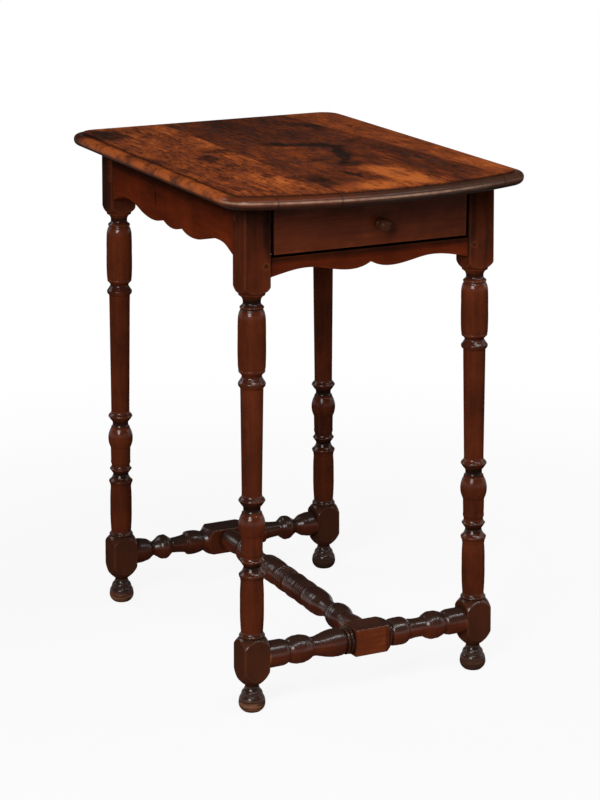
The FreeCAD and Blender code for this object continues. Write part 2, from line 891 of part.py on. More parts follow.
def glue_blocks():
    """Blocks rubbed into the corner between the top and the side and back aprons."""
    low = underside_z - glue_block_size
    half = glue_block_length / 2
    blocks = []
    for share in glue_block_place_shares:
        for side in (-1, 1):
            x = sorted((side * apron_inner_x, side * (apron_inner_x - glue_block_size)))
            y = middle_y + share * post_gap_half
            blocks.append(box((x[0], y - half, low), (x[1], y + half, underside_z)))
    for side in (-1, 1):
        x = side * stop_place_share * opening_half
        y = back_apron_inner_y - glue_block_size
        blocks.append(box((x - half, y, low), (x + half, back_apron_inner_y, underside_z)))
    return blocks


def build():
    """Make every sub-part and write each to its own file."""
    os.makedirs("parts", exist_ok=True)
    on_aprons = apron_pegs()
    on_rail = rail_pegs()
    on_stretchers = stretcher_pegs()
    every_peg = on_aprons + on_rail + on_stretchers
    for name, board in top_boards().items():
        save(name, board)
    raw_legs = {name: leg(name) for name in leg_places}
    posts = list(raw_legs.values())
    for name, solid in mortised(raw_legs, every_peg).items():
        save(name, solid)
    save("apron_left", side_apron(-1, posts, on_aprons))
    save("apron_right", side_apron(1, posts, on_aprons))
    save("apron_back", back_apron(posts, on_aprons))
    save("rail_front", front_rail(posts, on_rail))
    front_halves = (front_left_turning_shares, front_right_turning_shares)
    back_halves = (back_turning_shares, back_turning_shares)
    save("stretcher_front", cross_stretcher(-1, *front_halves, posts, on_stretchers))
    save("stretcher_back", cross_stretcher(1, *back_halves, posts, on_stretchers))
    save("stretcher_center", center_stretcher(on_stretchers))
    save("drawer_front", drawer_front())
    save("drawer_side_left", drawer_side(-1))
    save("drawer_side_right", drawer_side(1))
    save("drawer_back", drawer_back())
    save("drawer_bottom", drawer_bottom())
    save("drawer_knob", drawer_knob())
    save("drawer_bearer_left", drawer_bearer(-1))
    save("drawer_bearer_right", drawer_bearer(1))
    save("drawer_stops", drawer_stops())
    save("glue_blocks", glue_blocks())
    save("apron_pegs", on_aprons)
    save("rail_pegs", on_rail)
    save("stretcher_pegs", on_stretchers)


build()
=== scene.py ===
import math
from collections import namedtuple

import bpy
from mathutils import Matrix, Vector

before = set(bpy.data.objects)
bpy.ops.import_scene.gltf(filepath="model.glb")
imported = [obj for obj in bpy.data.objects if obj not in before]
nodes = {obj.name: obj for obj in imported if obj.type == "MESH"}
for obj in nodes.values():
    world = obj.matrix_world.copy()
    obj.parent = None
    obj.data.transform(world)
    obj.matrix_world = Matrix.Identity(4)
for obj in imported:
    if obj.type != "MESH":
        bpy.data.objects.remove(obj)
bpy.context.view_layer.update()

# Colours are linear RGB. A ramp runs from blackened wood to worn, lighter wood.
FRAME_RAMP = [
    (0.00, (0.0085, 0.0042, 0.0030)),
    (0.30, (0.0270, 0.0075, 0.0040)),
    (0.52, (0.0620, 0.0130, 0.0052)),
    (0.75, (0.1000, 0.0205, 0.0068)),
    (1.00, (0.2000, 0.0500, 0.0150)),
]
RED_RAMP = [
    (0.00, (0.0085, 0.0036, 0.0024)),
    (0.30, (0.0270, 0.0064, 0.0031)),
    (0.52, (0.0640, 0.0104, 0.0036)),
    (0.75, (0.1060, 0.0164, 0.0046)),
    (1.00, (0.2000, 0.0420, 0.0110)),
]
KNOB_RAMP = [
    (0.00, (0.0100, 0.0055, 0.0040)),
    (0.30, (0.0330, 0.0120, 0.0065)),
    (0.52, (0.0680, 0.0240, 0.0120)),
    (0.75, (0.1100, 0.0420, 0.0220)),
    (1.00, (0.2000, 0.1200, 0.0800)),
]
TOP_RAMP = [
    (0.00, (0.0130, 0.0057, 0.0033)),
    (0.22, (0.0400, 0.0112, 0.0053)),
    (0.45, (0.0900, 0.0205, 0.0074)),
    (0.70, (0.1950, 0.0430, 0.0112)),
    (1.00, (0.3800, 0.0980, 0.0210)),
]
INNER_RAMP = [
    (0.00, (0.0600, 0.0290, 0.0130)),
    (0.35, (0.1400, 0.0720, 0.0330)),
    (0.65, (0.2600, 0.1500, 0.0720)),
    (1.00, (0.4200, 0.2700, 0.1450)),
]
# Near-black for grime, dark joints and painted shade in recesses
GRIME_AND_SHADE = (0.0060, 0.0031, 0.0024)
GREYED = (0.0170, 0.0112, 0.0090)
# Pale rubbed edges: real wear, and also a painted highlight along the edges
WORN_AND_HIGHLIGHT = (0.1900, 0.0560, 0.0200)
SCUFFED = (0.1900, 0.0820, 0.0430)
TREAD = (0.0350, 0.0140, 0.0075)
BLOCK_BROWN = (0.0400, 0.0152, 0.0085)
LIP_WORN = (0.3100, 0.0720, 0.0160)
LIP_RED = (0.0700, 0.0170, 0.0070)
LIP_BROWN = (0.0380, 0.0180, 0.0115)
# Dark for the painted shade under the lip and its dark back corner
LIP_DARK = (0.0110, 0.0058, 0.0042)
# Painted highlight along the crest of the front lip
LIP_CREST_HIGHLIGHT = (0.2700, 0.1620, 0.1150)
WHITE = (1.0, 1.0, 1.0)
PAPER = (0.55, 0.55, 0.54)

AXES = {"X": 0, "Y": 1, "Z": 2}

# A layer of grain: how far it is drawn out along the wood (smaller is longer), its noise, and its
# share in the colour where it has one
Layer = namedtuple("Layer", "along scale detail roughness share", defaults=(0.0,))
FRAME_GRAIN = {
    "figure": Layer(0.10, 42.0, 3.0, 0.60, 0.400),
    "streak": Layer(0.05, 210.0, 3.0, 0.65, 0.304),
    "fibre": Layer(0.04, 950.0, 2.0, 0.60, 0.176),
    "patina": Layer(1.00, 16.0, 5.0, 0.62, 0.620),
}
TOP_GRAIN = {
    "broad": Layer(0.60, 24.0, 2.0, 0.55, 0.50),
    "mottle": Layer(0.30, 70.0, 5.0, 0.72, 1.00),
    "streak": Layer(0.07, 260.0, 4.0, 0.70, 0.80),
    "fibre": Layer(0.08, 800.0, 2.0, 0.60, 0.40),
}
INNER_GRAIN = {
    "figure": Layer(0.10, 40.0, 4.0, 0.60, 0.60),
    "streak": Layer(0.05, 220.0, 3.0, 0.65, 0.45),
    "fibre": Layer(0.04, 950.0, 2.0, 0.60, 0.35),
    "patina": Layer(1.00, 12.0, 5.0, 0.62, 0.55),
}
TOP_SPECK = Layer(0.30, 190.0, 3.0, 0.65)
LIP_RIPPLE = Layer(0.60, 38.0, 5.0, 0.70)
# The shares of noises in the bumps of a surface
FRAME_BUMPS = {"patina": 1.0, "fibre": 0.30}
TOP_BUMPS = {"speck": 0.6, "fibre": 0.40, "broad": 1.2, "lip_ripple": 0.8}
INNER_BUMPS = {"patina": 1.0, "fibre": 0.8}
# What the noise about zero mostly stays within, and the step in the noise from one seed to the next
PATINA_SPAN = (-0.2, 0.2)
SEED_STEPS = (0.731, 0.417, 0.293)
# Over the patina's span: the roughness of each wood, and the shares of the gloss
FRAME_ROUGHNESS = (0.34, 0.50)
TOP_ROUGHNESS = (0.45, 0.65)
INNER_ROUGHNESS = (0.55, 0.75)
GLOSS_SHARES = (0.7, 1.2)
# The part of a stain's radius or width that is full
STAIN_CORE = 0.45
OCCLUSION_SAMPLES = 6
BEVEL_SAMPLES = 4

# Corners where wax and dust gather and shade falls, painted darker as grime and painted shade: how
# near the next face is, the openness at which they start and are full, and how much of the colour
# they take
Recess = namedtuple("Recess", "reach start full share")
FRAME_RECESS = Recess(0.012, 0.85, 0.30, 0.92)
TOP_RECESS = Recess(0.005, 0.92, 0.50, 0.88)
TOP_HOLLOW = Recess(0.030, 0.60, 0.20, 0.60)
INNER_RECESS = Recess(0.020, 0.80, 0.30, 0.55)

# Dust on faces that look up, by the upward part of the normal and some of the patina
DUST_SLOPES = (0.05, 0.70)
DUST_PATINA = 0.9

# Convex edges that hands and feet have rubbed, painted lighter as wear and as a painted highlight
EDGE_REACH = 0.0030
EDGE_OPENNESS = (0.94, 0.62)
EDGE_PATINA = (-0.12, 0.10)
EDGE_LEAST = 0.25

# How the wax shines by the upward part of a face's normal: from flat_shine on upright faces to full
# on slopes, and little on level faces
SLOPES_SHINE = (0.03, 0.30)
LEVEL_DULLS = (0.75, 0.95)
LEVEL_SHINE = 0.15
# Less shine in the recesses that are painted darker with grime and shade
RECESS_DULLS = (0.0, 0.8)
RECESS_SHINE = 0.1

# Legs: half the distance between them, their height and splay, and where they stand lengthwise
LEG_X = 0.1605
LEG_HEIGHT = 0.678
LEG_SPLAY = 0.007
FRONT_LEG_Y = -0.2085
BACK_LEG_Y = 0.2355
LEG_FLAT_SHINE = 0.015
# Their thin places, by the radius, and their rings: how much darker they are, and the part of a
# ring's height that is fully dark
NECK_RADII = (0.0131, 0.0116)
NECK_DEPTH = 0.24
RING_DEPTH = 0.17
RING_CORE = 0.6
# Foot blocks, feet and treads, by height
BLOCK_SHADE = (0.112, 0.100, 0.08)
BLOCK_BROWN_Z = (0.114, 0.098)
BLOCK_BROWN_SHARE = 0.55
FOOT_Z = (0.037, 0.030)
FOOT_GREY = 0.65
TREAD_Z = (0.009, 0.000)
TREAD_RAGGED = 0.020
TREAD_WORN = (0.35, 0.62)
TREAD_ROUGHER = 0.25
TREAD_SHINE = 0.2
LATHE_STRETCH = (0.6, 0.6, 6.0)
# The square block in the middle of the front stretcher, by the distance from the middle
STRETCHER_BLOCK_X = (0.024, 0.020)
STRETCHER_BLOCK_LIFT = 0.27

# The lip of the top, by height, where along the table its looks change, the painted highlight along
# its crest, and the painted shade on its underside
LIP_Z = (0.6950, 0.6936)
LIP_FRONT_Y = (-0.215, -0.250)
LIP_BROWN_X = (-0.12, 0.00)
LIP_BROWN_RAGGED = 0.25
LIP_RED_RIPPLE = (0.38, 0.64)
LIP_SHARE = 0.92
LIP_FRONT_SHINE = 0.22
LIP_SIDE_SHINE = 0.06
LIP_DULLS_X = (0.10, 0.19)
LIP_DULL_SHINE = 0.15
LIP_CORNER = ((-0.205, 0.290), (0.060, 0.070))
LIP_CORNER_SHARE = 0.90
CREST_TOP_Z = (0.6894, 0.6882)
CREST_FOOT_Z = (0.6856, 0.6868)
CREST_FADES_X = (0.06, 0.17)
CREST_FADED = 0.20
CREST_MOTTLE = (-0.2, 0.1)
CREST_SHARES = (0.4, 0.9)
UNDER_Z = (0.6880, 0.6840)
UNDER_RAGGED = 0.004
UNDER_SHARE = 0.90
UNDER_SHINE = 0.15
# The flat field of the top, the joints of its boards, and their seams on the lip
FIELD_SHINE = 0.005
SPECK_SPAN = (0.54, 0.64)
JOINT_WIDTH = 0.0012
JOINT_DEPTH = 0.18
SEAM_WIDTH = 0.0018
SEAM_SHARE = 0.45


class Wood:
    """A material's node tree with short ways to add nodes to it."""

    def __init__(self, name):
        self.material = bpy.data.materials.new(name)
        self.material.use_nodes = True
        self.tree = self.material.node_tree
        self.tree.nodes.clear()
        self.point = self.add("ShaderNodeTexCoord").outputs["Object"]

    def add(self, kind, links=(), **settings):
        node = self.tree.nodes.new(kind)
        for key, value in settings.items():
            setattr(node, key, value)
        for key, value in dict(links).items():
            self.put(node.inputs[key], value)
        return node

    def put(self, socket, value):
        if isinstance(value, bpy.types.NodeSocket):
            self.tree.links.new(value, socket)
        elif socket.type == "RGBA":
            socket.default_value = (*value, 1.0)
        else:
            socket.default_value = value

    def math(self, operation, *values, clamp=False):
        links = dict(enumerate(values))
        node = self.add("ShaderNodeMath", links, operation=operation, use_clamp=clamp)
        return node.outputs[0]

    def times(self, a, b):
        return self.math("MULTIPLY", a, b)

    def plus(self, value, share, base):
        """base + value * share"""
        return self.math("MULTIPLY_ADD", value, share, base)

    def vector(self, operation, *values):
        links = dict(enumerate(values))
        return self.add("ShaderNodeVectorMath", links, operation=operation).outputs["Vector"]

    def dot(self, a, b):
        links = {0: a, 1: b}
        return self.add("ShaderNodeVectorMath", links, operation="DOT_PRODUCT").outputs["Value"]

    def length(self, vector):
        return self.add("ShaderNodeVectorMath", {0: vector}, operation="LENGTH").outputs["Value"]

    def scaled(self, vector, scale):
        links = {0: vector, "Scale": scale}
        return self.add("ShaderNodeVectorMath", links, operation="SCALE").outputs["Vector"]

    def noise(self, vector, scale, detail, roughness=0.55, output="Fac"):
        links = {"Vector": vector, "Scale": scale, "Detail": detail, "Roughness": roughness}
        return self.add("ShaderNodeTexNoise", links).outputs[output]

    def wobble(self, scale, reach):
        """Noise that pushes a point about by up to half the reach."""
        color = self.noise(self.point, scale, detail=3.0, output="Color")
        return self.scaled(self.vector("SUBTRACT", color, (0.5, 0.5, 0.5)), reach)

    def smooth(self, value, low, high, to_low=0.0, to_high=1.0):
        links = {
            "Value": value,
            "From Min": low,
            "From Max": high,
            "To Min": to_low,
            "To Max": to_high,
        }
        node = self.add("ShaderNodeMapRange", links, interpolation_type="SMOOTHSTEP")
        return node.outputs[0]

    def mix(self, factor, a, b):
        node = self.add("ShaderNodeMix", data_type="RGBA")
        # The sockets of the colour mix have the same names as those of the other kinds
        for index, value in ((0, factor), (6, a), (7, b)):
            self.put(node.inputs[index], value)
        return node.outputs[2]

    def ramp(self, factor, stops):
        node = self.add("ShaderNodeValToRGB", {"Fac": factor})
        elements = node.color_ramp.elements
        while len(elements) < len(stops):
            elements.new(0.5)
        for element, (place, color) in zip(elements, stops):
            element.position = place
            element.color = (*color, 1.0)
        return node.outputs[0]

    def parts(self, vector):
        return self.add("ShaderNodeSeparateXYZ", {0: vector}).outputs

    def flat(self, a, b):
        """A point with two coordinates and no third."""
        return self.add("ShaderNodeCombineXYZ", {0: a, 1: b}).outputs[0]

    def occlusion(self, distance, inside):
        links = {"Distance": distance}
        settings = {"samples": OCCLUSION_SAMPLES, "inside": inside, "only_local": inside}
        return self.add("ShaderNodeAmbientOcclusion", links, **settings).outputs["AO"]

    def blot(self, place, center, radii, angle=0.0):
        """A soft-edged oval, 1 in its middle."""
        links = {
            "Vector": place,
            "Location": (*center, 0.0),
            "Rotation": (0.0, 0.0, math.radians(angle)),
            "Scale": (*radii, 1.0),
        }
        local = self.add("ShaderNodeMapping", links, vector_type="TEXTURE").outputs[0]
        return self.smooth(self.length(local), 1.0, STAIN_CORE)

    def trail(self, place, points, width):
        """A soft-edged line through a few points, 1 in its middle."""
        near = None
        for a, b in zip(points, points[1:]):
            run = Vector((b[0] - a[0], b[1] - a[1], 0.0))
            from_a = self.vector("SUBTRACT", place, (*a, 0.0))
            share = self.dot(from_a, run / run.length_squared)
            share = self.math("MULTIPLY", share, 1.0, clamp=True)
            step = self.flat(self.times(share, run.x), self.times(share, run.y))
            away = self.length(self.vector("SUBTRACT", from_a, step))
            near = away if near is None else self.math("MINIMUM", near, away)
        return self.smooth(near, width, STAIN_CORE * width)

    def edges(self):
        """1 along convex edges."""
        return self.smooth(self.occlusion(EDGE_REACH, True), *EDGE_OPENNESS)

    def grimed_and_shaded(self, color, recess):
        """The colour with grime and painted shade in the recesses, and where they are."""
        grime_and_shade_mask = self.smooth(self.occlusion(recess.reach, False), recess.start, recess.full)
        return self.mix(self.times(grime_and_shade_mask, recess.share), color, GRIME_AND_SHADE), grime_and_shade_mask

    def finish(self, color, roughness, height, shine, polish, bevel, bump, specular):
        """The finished material, with a coat of wax as smooth as the polish says."""
        rounded = self.add("ShaderNodeBevel", {"Radius": bevel}, samples=BEVEL_SAMPLES).outputs[0]
        links = {"Height": height, "Distance": bump, "Strength": 1.0, "Normal": rounded}
        normal = self.add("ShaderNodeBump", links).outputs[0]
        links = {
            "Base Color": color,
            "Roughness": roughness,
            "Specular IOR Level": specular,
            "Normal": normal,
            "Coat Weight": shine,
            "Coat Roughness": polish,
            "Coat Normal": normal,
        }
        shader = self.add("ShaderNodeBsdfPrincipled", links)
        self.add("ShaderNodeOutputMaterial", {"Surface": shader.outputs[0]})
        return self.material


def grain_point(wood, seed):
    """The point moved to a place of its own in the noise, and a little wavy."""
    shifted = wood.vector("ADD", wood.point, [seed * step for step in SEED_STEPS])
    return wood.vector("ADD", shifted, wood.wobble(scale=6.0, reach=0.02))


def layer_noise(wood, point, axis, layer):
    """Noise from 0 to 1, drawn out along the grain."""
    stretch = [1.0, 1.0, 1.0]
    stretch[AXES[axis]] = layer.along
    drawn = wood.vector("MULTIPLY", point, stretch)
    return wood.noise(drawn, layer.scale, layer.detail, layer.roughness)


def grained(wood, point, axis, layers, level, contrast=1.0):
    """Each layer's noise about zero, and the place on the ramp that they add up to."""
    noises = {}
    share = level
    for name, layer in layers.items():
        noises[name] = wood.math("SUBTRACT", layer_noise(wood, point, axis, layer), 0.5)
        share = wood.plus(noises[name], layer.share * contrast, share)
    return noises, share


def bumps(wood, noises, shares):
    """The height of the surface, from the shares of some noises."""
    height = 0.0
    for name, share in shares.items():
        height = wood.plus(noises[name], share, height)
    return height


def leg_necks(wood, place, leg_y):
    """1 on the thin places of a turned leg, by the distance from its splayed axis."""
    below_top = wood.math("SUBTRACT", LEG_HEIGHT, place["Z"])
    out = wood.times(below_top, LEG_SPLAY / LEG_HEIGHT)
    axis_x = wood.plus(out, 1.0, LEG_X)
    axis_y = wood.plus(out, math.copysign(1.0, leg_y), leg_y)
    from_x = wood.math("SUBTRACT", wood.math("ABSOLUTE", place["X"]), axis_x)
    from_y = wood.math("SUBTRACT", place["Y"], axis_y)
    return wood.smooth(wood.length(wood.flat(from_x, from_y)), *NECK_RADII)


def scuffed_foot(wood, z, scuff, color, rough, shine):
    """Colour, roughness and shine with a greyed foot and a worn tread."""
    lathe_point = wood.vector("MULTIPLY", wood.point, LATHE_STRETCH)
    marks = wood.noise(lathe_point, scale=75.0, detail=4.0, roughness=0.65)
    color = wood.mix(wood.times(wood.smooth(z, *FOOT_Z), FOOT_GREY), color, GREYED)
    tread = wood.smooth(wood.plus(marks, -TREAD_RAGGED, z), *TREAD_Z)
    tread_color = wood.mix(wood.smooth(marks, *TREAD_WORN), TREAD, SCUFFED)
    color = wood.mix(wood.times(tread, scuff), color, tread_color)
    rough = wood.math("MULTIPLY_ADD", tread, TREAD_ROUGHER, rough, clamp=True)
    shine = wood.times(shine, wood.smooth(tread, 0.0, 1.0, to_low=1.0, to_high=TREAD_SHINE))
    return color, rough, shine


def frame_wood(name, axis, seed, level, gloss, grey=0.0, wear_and_highlight=0.35, scuff=0.0, shades=(), marks=(),
               rings=(), leg_y=None, worn_block=False, ramp=FRAME_RAMP, polish=0.17,
               flat_shine=0.04):
    """Waxed red-brown wood: legs, aprons, rail, stretchers, pegs, drawer front and knob.

    Shades darken it from one height to another: painted shadow under the top and its lip, and the
    darker foot blocks.
    Marks are dark ovals in a plane, two of them painted shadow beside the drawer opening, and rings
    are dark bands about a height.
    """
    wood = Wood(name)
    point = grain_point(wood, seed)
    place = dict(zip("XYZ", wood.parts(wood.point)))
    noises, share = grained(wood, point, axis, FRAME_GRAIN, level)
    patina = noises["patina"]
    # Painted shadow under the top and its lip, in bands by height; BLOCK_SHADE darkens the foot
    # blocks
    for low, high, depth in shades:
        share = wood.plus(wood.smooth(place["Z"], low, high), -depth, share)
    for plane, center, radii, depth in marks:
        spot = wood.blot(wood.flat(place[plane[0]], place[plane[1]]), center, radii)
        share = wood.plus(spot, -depth, share)
    for middle, half in rings:
        away = wood.math("ABSOLUTE", wood.math("SUBTRACT", place["Z"], middle))
        share = wood.plus(wood.smooth(away, half, RING_CORE * half), -RING_DEPTH, share)
    if leg_y:
        share = wood.plus(leg_necks(wood, place, leg_y), -NECK_DEPTH, share)
    if worn_block:
        block = wood.smooth(wood.math("ABSOLUTE", place["X"]), *STRETCHER_BLOCK_X)
        share = wood.plus(block, STRETCHER_BLOCK_LIFT, share)
    color = wood.ramp(share, ramp)
    if leg_y:
        browned = wood.smooth(place["Z"], *BLOCK_BROWN_Z, to_high=BLOCK_BROWN_SHARE)
        color = wood.mix(browned, color, BLOCK_BROWN)

    upward = wood.parts(wood.add("ShaderNodeNewGeometry").outputs["Normal"])[2]
    if grey:
        settled = wood.smooth(wood.plus(patina, DUST_PATINA, upward), *DUST_SLOPES)
        color = wood.mix(wood.times(settled, grey), color, GREYED)
    # Lighter convex edges: real wear and a painted highlight
    wear_and_highlight_mask = wood.times(wood.edges(), wood.smooth(patina, *EDGE_PATINA, to_low=EDGE_LEAST))
    color = wood.mix(wood.times(wear_and_highlight_mask, wear_and_highlight), color, WORN_AND_HIGHLIGHT)
    # Grime and painted shade where occlusion finds recesses
    color, grime_and_shade_mask = wood.grimed_and_shaded(color, FRAME_RECESS)

    rough = wood.smooth(patina, *PATINA_SPAN, *FRAME_ROUGHNESS)
    shine = wood.smooth(patina, *PATINA_SPAN, *(gloss * share for share in GLOSS_SHARES))
    shine = wood.times(shine, wood.smooth(grime_and_shade_mask, *RECESS_DULLS, to_low=1.0, to_high=RECESS_SHINE))
    shine = wood.times(shine, wood.smooth(upward, *SLOPES_SHINE, to_low=flat_shine))
    shine = wood.times(shine, wood.smooth(upward, *LEVEL_DULLS, to_low=1.0, to_high=LEVEL_SHINE))
    if scuff:
        color, rough, shine = scuffed_foot(wood, place["Z"], scuff, color, rough, shine)
    height = bumps(wood, noises, FRAME_BUMPS)
    return wood.finish(color, rough, height, shine, polish, bevel=0.0010, bump=0.0003, specular=0.0)


def lip_look(wood, ripple, mottle, stain_place):
    """Colour and shine of the moulded lip, darker at the front than at the sides, with a painted
    highlight along the front crest and painted shade on its underside.
    """
    x, y, z = wood.parts(wood.point)
    front = wood.smooth(y, *LIP_FRONT_Y)
    corner = wood.blot(stain_place, *LIP_CORNER)
    side_color = wood.mix(wood.smooth(ripple, *LIP_RED_RIPPLE), LIP_WORN, LIP_RED)
    side_color = wood.mix(wood.times(corner, LIP_CORNER_SHARE), side_color, LIP_DARK)
    browned = wood.smooth(wood.plus(mottle, LIP_BROWN_RAGGED, x), *LIP_BROWN_X)
    front_color = wood.mix(browned, LIP_RED, LIP_BROWN)
    # A painted highlight along the front crest of the lip
    crest_highlight = wood.times(wood.smooth(z, *CREST_TOP_Z), wood.smooth(z, *CREST_FOOT_Z))
    crest_highlight = wood.times(crest_highlight, wood.smooth(x, *CREST_FADES_X, to_low=1.0, to_high=CREST_FADED))
    crest_highlight = wood.times(crest_highlight, wood.smooth(mottle, *CREST_MOTTLE, *CREST_SHARES))
    front_color = wood.mix(crest_highlight, front_color, LIP_CREST_HIGHLIGHT)
    color = wood.mix(front, side_color, front_color)
    # Painted shade on the underside of the lip
    under_shade = wood.smooth(wood.plus(ripple, UNDER_RAGGED, z), *UNDER_Z)
    color = wood.mix(wood.times(under_shade, UNDER_SHARE), color, LIP_DARK)
    shine = wood.smooth(front, 0.0, 1.0, LIP_SIDE_SHINE, LIP_FRONT_SHINE)
    shine = wood.times(shine, wood.smooth(under_shade, 0.0, 1.0, to_low=1.0, to_high=UNDER_SHINE))
    shine = wood.times(shine, wood.smooth(x, *LIP_DULLS_X, to_low=1.0, to_high=LIP_DULL_SHINE))
    return color, shine


def top_wood(name, seed, level, joints, specks, spots, lines=(), contrast=1.0):
    """A board of the top: mottled, stained and worn, with a moulded lip.

    Joints are the lines where it meets its neighbours. Spots and lines are stains.
    """
    wood = Wood(name)
    point = grain_point(wood, seed)
    x, y, z = wood.parts(wood.point)
    noises, share = grained(wood, point, "Y", TOP_GRAIN, level, contrast)
    mottle = noises["mottle"]
    speck = layer_noise(wood, point, "Y", TOP_SPECK)
    ripple = layer_noise(wood, point, "Y", LIP_RIPPLE)
    coarse = wood.wobble(scale=34.0, reach=0.026)
    fine = wood.wobble(scale=130.0, reach=0.012)
    ragged = wood.vector("ADD", wood.point, wood.vector("ADD", coarse, fine))
    stain_place = wood.flat(*wood.parts(ragged)[:2])
    joint_place = wood.flat(x, y)
    for center, radii, angle, lift in spots:
        share = wood.plus(wood.blot(stain_place, center, radii, angle), lift, share)
    for points, width, lift in lines:
        share = wood.plus(wood.trail(stain_place, points, width), lift, share)
    for ends in joints:
        share = wood.plus(wood.trail(joint_place, ends, JOINT_WIDTH), -JOINT_DEPTH, share)
    share = wood.plus(wood.smooth(speck, *SPECK_SPAN), -specks, share)
    color = wood.ramp(share, TOP_RAMP)

    lip = wood.smooth(z, *LIP_Z)
    lip_color, lip_shine = lip_look(wood, ripple, mottle, stain_place)
    color = wood.mix(wood.times(lip, LIP_SHARE), color, lip_color)
    for ends in joints:
        seam = wood.times(wood.trail(joint_place, ends, SEAM_WIDTH), lip)
        color = wood.mix(wood.times(seam, SEAM_SHARE), color, GRIME_AND_SHADE)
    # Grime and painted shade in the top's recesses and near its edges
    for recess in (TOP_RECESS, TOP_HOLLOW):
        color = wood.grimed_and_shaded(color, recess)[0]

    rough = wood.smooth(mottle, *PATINA_SPAN, *TOP_ROUGHNESS)
    shine = wood.smooth(lip, 0.0, 1.0, FIELD_SHINE, lip_shine)
    bumpy = dict(noises, speck=speck, lip_ripple=wood.times(lip, ripple))
    height = bumps(wood, bumpy, TOP_BUMPS)
    return wood.finish(
        color, rough, height, shine, polish=0.20, bevel=0.0008, bump=0.0004, specular=0.002)


def inner_wood(name, axis, seed):
    """Dry, paler wood inside: drawer linings, bearers and blocks."""
    wood = Wood(name)
    point = grain_point(wood, seed)
    noises, share = grained(wood, point, axis, INNER_GRAIN, level=0.52)
    # Grime and painted shade in the recesses
    color = wood.grimed_and_shaded(wood.ramp(share, INNER_RAMP), INNER_RECESS)[0]
    rough = wood.smooth(noises["patina"], *PATINA_SPAN, *INNER_ROUGHNESS)
    height = bumps(wood, noises, INNER_BUMPS)
    return wood.finish(
        color, rough, height, shine=0.02, polish=0.45, bevel=0.0006, bump=0.0005, specular=0.002)


def dress(node, material):
    for slot in nodes[node].material_slots:
        slot.material = material


# Heights of each leg's turned rings, which wax and dust have darkened, and half the rings' heights
RING_HALVES = (0.006, 0.016, 0.013, 0.008, 0.009)
LEG_RINGS = {
    "leg_front_left": (0.104, 0.198, 0.284, 0.449, 0.547),
    "leg_front_right": (0.104, 0.201, 0.288, 0.463, 0.549),
    "leg_back_left": (0.104, 0.196, 0.279, 0.475, 0.571),
    "leg_back_right": (0.104, 0.200, 0.287, 0.499, 0.575),
}
# The upper shades on the posts are painted shadow of the top and its lip
LEG_LOOKS = {
    "leg_front_left": dict(
        seed=1, level=0.535, gloss=0.42, wear_and_highlight=0.45, scuff=0.95, leg_y=FRONT_LEG_Y,
        shades=[(0.560, 0.670, 0.09), (0.630, 0.672, 0.22), BLOCK_SHADE],
        # A painted shadow beside the drawer opening
        marks=[("XZ", (-0.143, 0.645), (0.013, 0.060), 0.32)]),
    "leg_front_right": dict(
        seed=2, level=0.55, gloss=0.42, wear_and_highlight=0.40, scuff=0.20, leg_y=FRONT_LEG_Y,
        shades=[(0.555, 0.600, 0.15), (0.640, 0.676, 0.16), BLOCK_SHADE],
        # A painted shadow beside the drawer opening
        marks=[("XZ", (0.145, 0.640), (0.012, 0.075), 0.18)]),
    "leg_back_left": dict(
        seed=3, level=0.53, gloss=0.36, wear_and_highlight=0.40, scuff=0.75, leg_y=BACK_LEG_Y,
        shades=[(0.570, 0.600, 0.26), BLOCK_SHADE]),
    "leg_back_right": dict(
        seed=4, level=0.43, gloss=0.36, scuff=0.06, leg_y=BACK_LEG_Y, shades=[BLOCK_SHADE]),
}
for name, looks in LEG_LOOKS.items():
    rings = list(zip(LEG_RINGS[name], RING_HALVES))
    dress(name, frame_wood(name, "Z", rings=rings, flat_shine=LEG_FLAT_SHINE, **looks))

